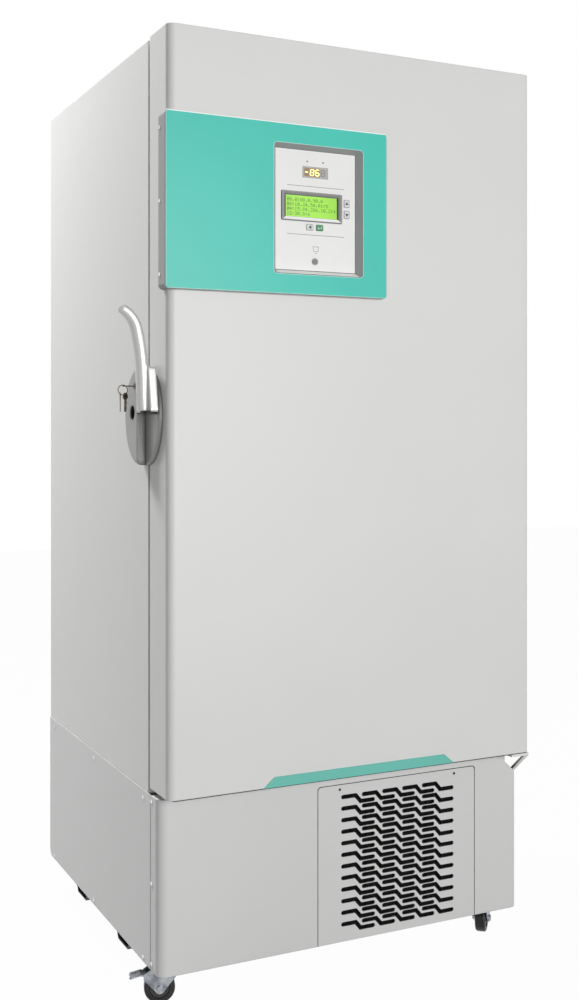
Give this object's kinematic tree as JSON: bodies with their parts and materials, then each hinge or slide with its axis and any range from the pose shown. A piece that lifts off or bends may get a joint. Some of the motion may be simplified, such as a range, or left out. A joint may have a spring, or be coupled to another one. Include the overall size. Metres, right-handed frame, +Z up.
{
  "type": "ultra low temperature freezer",
  "caption": "Upright ultra low temperature freezer: insulated cabinet, side-hinged door with a lever latch, control panel and machine base on casters",
  "frame": {"origin": "on the floor, under the middle of the cabinet", "axes": "+X to the right seen from the front, +Y towards the back, +Z up; the door faces -Y"},
  "size_m": [0.969, 0.878, 1.9886],
  "materials": {
    "painted_shell": "smooth light grey powder coat, satin",
    "painted_base": "light grey powder coat, a little darker, satin",
    "frame_steel": "grey painted steel sections",
    "rail_black": "black painted steel",
    "foam": "rigid foam, never in view",
    "stainless": "brushed stainless sheet",
    "white_plastic": "white moulded plastic",
    "copper_tube": "dull copper",
    "gasket": "black soft gasket",
    "teal_overlay": "smooth teal sheet, satin gloss",
    "panel_grey": "fine grained grey moulding",
    "fascia_white": "satin off-white sheet",
    "lcd_green": "silver bezel round a lit green liquid crystal window",
    "led_window": "smoked window with lit pale yellow digits",
    "button_grey": "grey button caps, one green",
    "lever_grey": "glossy light grey moulded lever",
    "zinc": "bright zinc plate with a faint bluish cast",
    "black_plastic": "black moulded plastic",
    "compressor_black": "black painted pressed steel",
    "fin_aluminium": "thin aluminium fins",
    "key_brass": "dull nickelled brass",
    "wheel_black": "black hard tread, slightly worn"
  },
  "bodies": {
    "cabinet": {"cabinet_shell": "painted_shell", "cabinet_back_panel": "painted_shell", "cabinet_insulation": "foam", "inner_liner": "stainless", "throat_frame": "white_plastic", "inner_door_hinges": "stainless", "evaporator_coil": "copper_tube", "shelves": "stainless", "access_port": "white_plastic", "base_frame": "frame_steel", "cross_rails": "rail_black", "base_side_panels": "painted_base", "base_front_panel": "painted_base", "grille_panel": "painted_base", "base_rear_panel": "painted_base", "air_filter": "black_plastic", "condenser": "fin_aluminium", "fan_shroud": "black_plastic", "fan_motor": "zinc", "compressor_high_stage": "compressor_black", "compressor_low_stage": "compressor_black", "refrigerant_lines": "copper_tube", "electrical_box": "frame_steel", "panel_screws": "zinc", "caster_plates": "zinc", "hinge_brackets": "painted_shell", "keeper_housing": "panel_grey"},
    "door": {"door_skin": "painted_shell", "door_insulation": "foam", "door_liner": "white_plastic", "door_gasket": "gasket", "door_hinge_bushes": "white_plastic", "control_housing": "panel_grey", "control_overlay": "teal_overlay", "control_fascia": "fascia_white", "lcd_screen": "lcd_green", "led_display": "led_window", "bezel_screws": "zinc", "door_trim": "teal_overlay", "latch_housing": "panel_grey"},
    "lever": {"latch_lever": "lever_grey"},
    "lock": {"lock_key": "key_brass"},
    "ring": {"key_ring": "key_brass"},
    "cap_up": {"button_up": "button_grey"},
    "cap_down": {"button_down": "button_grey"},
    "cap_back": {"button_back": "button_grey"},
    "cap_enter": {"button_enter": "button_grey"},
    "fan": {"fan_rotor": "black_plastic"},
    "fork_front_left": {"caster_fork_front_left": "zinc"},
    "fork_front_right": {"caster_fork_front_right": "zinc"},
    "fork_rear_left": {"caster_fork_rear_left": "zinc"},
    "fork_rear_right": {"caster_fork_rear_right": "zinc"},
    "wheel_front_left": {"caster_wheel_front_left": "wheel_black"},
    "wheel_front_right": {"caster_wheel_front_right": "wheel_black"},
    "wheel_rear_left": {"caster_wheel_rear_left": "wheel_black"},
    "wheel_rear_right": {"caster_wheel_rear_right": "wheel_black"},
    "pedal_left": {"brake_pedal_left": "zinc"},
    "pedal_right": {"brake_pedal_right": "zinc"},
    "inner_upper": {"inner_door_upper": "white_plastic"},
    "inner_lower": {"inner_door_lower": "white_plastic"}
  },
  "joints": [
    {"name": "door_hinge", "type": "hinge", "parent": "cabinet", "child": "door", "pos_m": [0.409, -0.368, 1.2], "axis": [0, 0, 1], "range_deg": [0, 110]},
    {"name": "lever_turn", "type": "hinge", "parent": "door", "child": "lever", "pos_m": [-0.439, -0.367, 1.222], "axis": [1, 0, 0], "range_deg": [0, 90]},
    {"name": "key_turn", "type": "hinge", "parent": "cabinet", "child": "lock", "pos_m": [-0.455, -0.306, 1.268], "axis": [1, 0, 0], "range_deg": [0, 90]},
    {"name": "ring_swing", "type": "hinge", "parent": "lock", "child": "ring", "pos_m": [-0.4864, -0.306, 1.268], "axis": [0, 1, 0], "range_deg": [-10, 10]},
    {"name": "press_up", "type": "slide", "parent": "door", "child": "cap_up", "axis": [0, 1, 0], "range_m": [0, 0.001], "stiffness_N_per_m": 300},
    {"name": "press_down", "type": "slide", "parent": "door", "child": "cap_down", "axis": [0, 1, 0], "range_m": [0, 0.001], "stiffness_N_per_m": 300},
    {"name": "press_back", "type": "slide", "parent": "door", "child": "cap_back", "axis": [0, 1, 0], "range_m": [0, 0.001], "stiffness_N_per_m": 300},
    {"name": "press_enter", "type": "slide", "parent": "door", "child": "cap_enter", "axis": [0, 1, 0], "range_m": [0, 0.001], "stiffness_N_per_m": 300},
    {"name": "fan_spin", "type": "hinge", "parent": "cabinet", "child": "fan", "pos_m": [0.119, -0.262, 0.24625], "axis": [0, 1, 0], "continuous": true},
    {"name": "swivel_front_left", "type": "hinge", "parent": "cabinet", "child": "fork_front_left", "pos_m": [-0.382, -0.312, 0.074], "axis": [0, 0, 1], "continuous": true},
    {"name": "roll_front_left", "type": "hinge", "parent": "fork_front_left", "child": "wheel_front_left", "pos_m": [-0.40686, -0.3044, 0.032], "axis": [-0.2924, -0.9563, 0], "continuous": true},
    {"name": "swivel_front_right", "type": "hinge", "parent": "cabinet", "child": "fork_front_right", "pos_m": [0.382, -0.312, 0.074], "axis": [0, 0, 1], "continuous": true},
    {"name": "roll_front_right", "type": "hinge", "parent": "fork_front_right", "child": "wheel_front_right", "pos_m": [0.39973, -0.29298, 0.032], "axis": [-0.7314, 0.682, 0], "continuous": true},
    {"name": "swivel_rear_left", "type": "hinge", "parent": "cabinet", "child": "fork_rear_left", "pos_m": [-0.382, 0.35, 0.074], "axis": [0, 0, 1], "continuous": true},
    {"name": "roll_rear_left", "type": "hinge", "parent": "fork_rear_left", "child": "wheel_rear_left", "pos_m": [-0.35948, 0.363, 0.032], "axis": [-0.5, 0.866, 0], "continuous": true},
    {"name": "swivel_rear_right", "type": "hinge", "parent": "cabinet", "child": "fork_rear_right", "pos_m": [0.382, 0.35, 0.074], "axis": [0, 0, 1], "continuous": true},
    {"name": "roll_rear_right", "type": "hinge", "parent": "fork_rear_right", "child": "wheel_rear_right", "pos_m": [0.40452, 0.363, 0.032], "axis": [-0.5, 0.866, 0], "continuous": true},
    {"name": "brake_left", "type": "hinge", "parent": "fork_front_left", "child": "pedal_left", "pos_m": [-0.43364, -0.29621, 0.057], "axis": [-0.2924, -0.9563, 0], "range_deg": [0, 10]},
    {"name": "brake_right", "type": "hinge", "parent": "fork_front_right", "child": "pedal_right", "pos_m": [0.41883, -0.27251, 0.057], "axis": [-0.7314, 0.682, 0], "range_deg": [0, 10]},
    {"name": "inner_upper_hinge", "type": "hinge", "parent": "cabinet", "child": "inner_upper", "pos_m": [0.31, -0.292, 1.5], "axis": [0, 0, 1], "range_deg": [0, 88]},
    {"name": "inner_lower_hinge", "type": "hinge", "parent": "cabinet", "child": "inner_lower", "pos_m": [0.31, -0.292, 0.88], "axis": [0, 0, 1], "range_deg": [0, 88]}
  ],
  "couplings": [
    {"joint": "inner_upper_hinge", "follows": "door_hinge", "ratio": 0.8},
    {"joint": "inner_lower_hinge", "follows": "door_hinge", "ratio": 0.8}
  ]
}
